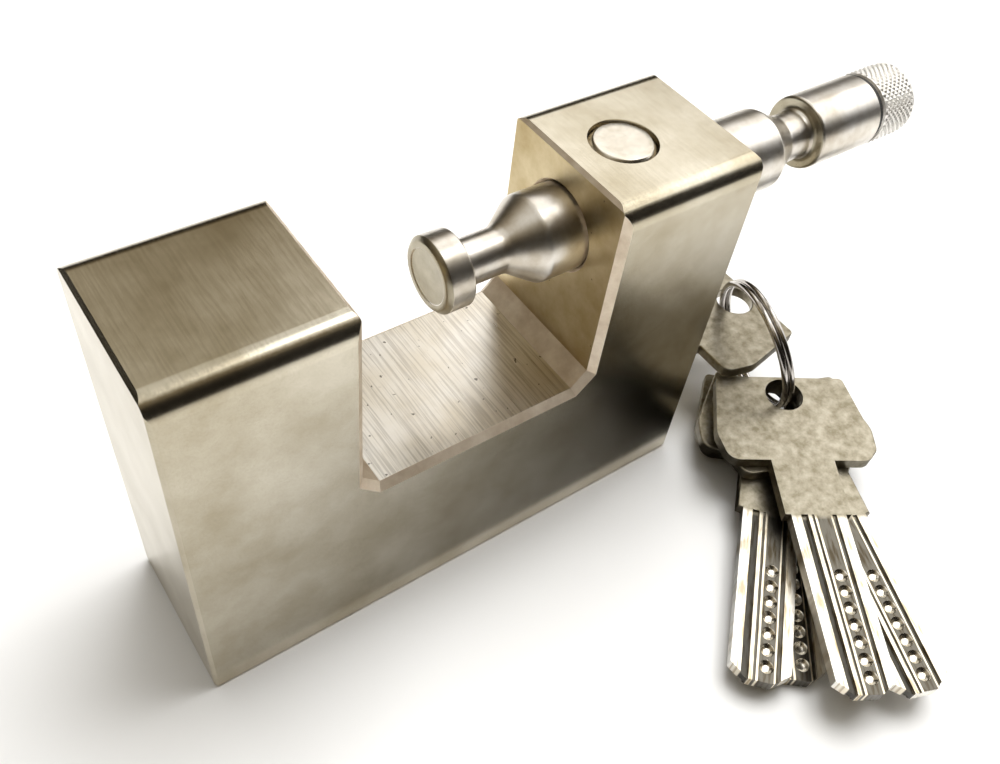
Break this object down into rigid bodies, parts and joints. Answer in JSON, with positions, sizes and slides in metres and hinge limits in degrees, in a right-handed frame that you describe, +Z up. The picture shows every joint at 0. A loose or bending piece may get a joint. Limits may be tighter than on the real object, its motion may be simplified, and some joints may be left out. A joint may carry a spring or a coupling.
{
  "type": "trailer coupler lock",
  "caption": "Solid block lock with an upward gap crossed by a sliding knobbed bolt, a key-turned latch in one arm, and keys on a split ring.",
  "frame": {"origin": "middle of the block's base, on the surface it stands on", "axes": "+X along the bolt towards its knob, +Y to the back of the block, +Z up"},
  "size_m": [0.1263, 0.0809, 0.0595],
  "materials": {
    "block_nickel": "satin nickel plate on milled steel, slightly cloudy",
    "plug_nickel": "satin nickel plate, bevelled rim",
    "bolt_steel": "turned and polished steel",
    "cap_steel": "fine diamond knurl",
    "seal_rubber": "black rubber",
    "latch_steel": "hardened ground steel",
    "spring_steel": "drawn spring wire",
    "cylinder_brass": "machined brass",
    "rotor_brass": "machined brass",
    "pin_brass": "turned brass pins",
    "pin_steel": "turned steel pins",
    "cam_steel": "sintered steel",
    "clip_black": "black oxide",
    "screw_black": "black oxide",
    "key_nickel": "nickel-plated key, mottled bow",
    "ring_steel": "bright spring wire"
  },
  "bodies": {
    "block": {"lock_body": "block_nickel", "top_plug": "plug_nickel", "cylinder_housing": "cylinder_brass", "driver_pins": "pin_steel", "pin_springs": "spring_steel", "chamber_caps": "cylinder_brass", "cylinder_set_screw": "screw_black"},
    "bolt": {"pull_bolt": "bolt_steel", "cap_seal_ring": "seal_rubber", "knurled_cap": "cap_steel"},
    "latch": {"latch_pin": "latch_steel", "follower_stud": "latch_steel", "latch_spring": "spring_steel"},
    "rotor": {"cylinder_rotor": "rotor_brass", "key_pins": "pin_brass", "cam_disc": "cam_steel", "cam_clip": "clip_black"},
    "key": {"key_in_lock": "key_nickel"},
    "ring": {"split_ring": "ring_steel"},
    "spare_top": {"spare_key_top": "key_nickel"},
    "spare_right": {"spare_key_right": "key_nickel"},
    "spare_left": {"spare_key_left": "key_nickel"},
    "spare_bottom": {"spare_key_bottom": "key_nickel"}
  },
  "joints": [
    {"name": "bolt_slide", "type": "slide", "parent": "block", "child": "bolt", "axis": [1, 0, 0], "range_m": [-0.0341, 0.0224]},
    {"name": "key_turn", "type": "hinge", "parent": "block", "child": "rotor", "pos_m": [0.0325, 0, 0.0122], "axis": [1, 0, 0], "range_deg": [0, 90]},
    {"name": "latch_slide", "type": "slide", "parent": "block", "child": "latch", "axis": [0, 0, 1], "range_m": [-0.0019, 0], "deforming": ["latch_spring"]},
    {"name": "key_slide", "type": "slide", "parent": "rotor", "child": "key", "axis": [1, 0, 0], "range_m": [0, 0.03]},
    {"name": "ring_spin", "type": "hinge", "parent": "key", "child": "ring", "pos_m": [0.0607, -0.0093, 0.0122], "axis": [0.9295, -0.2842, 0.2351], "continuous": true},
    {"name": "spare_top_swing", "type": "hinge", "parent": "key", "child": "spare_top", "pos_m": [0.0582, -0.0194, 0.00971], "axis": [-0.0227, -0.0393, 0.999], "range_deg": [-30, 30]},
    {"name": "spare_right_swing", "type": "hinge", "parent": "key", "child": "spare_right", "pos_m": [0.0588, -0.0192, 0.00762], "axis": [-0.0227, -0.0393, 0.999], "range_deg": [-30, 30]},
    {"name": "spare_left_swing", "type": "hinge", "parent": "key", "child": "spare_left", "pos_m": [0.0598, -0.0181, 0.00559], "axis": [-0.0227, -0.0393, 0.999], "range_deg": [-30, 30]},
    {"name": "spare_bottom_swing", "type": "hinge", "parent": "key", "child": "spare_bottom", "pos_m": [0.0608, -0.0158, 0.0036], "axis": [-0.0227, -0.0393, 0.999], "range_deg": [-30, 30]}
  ],
  "couplings": [
    {"joint": "latch_slide", "follows": "key_turn", "m_per_rad": -0.0012095}
  ]
}
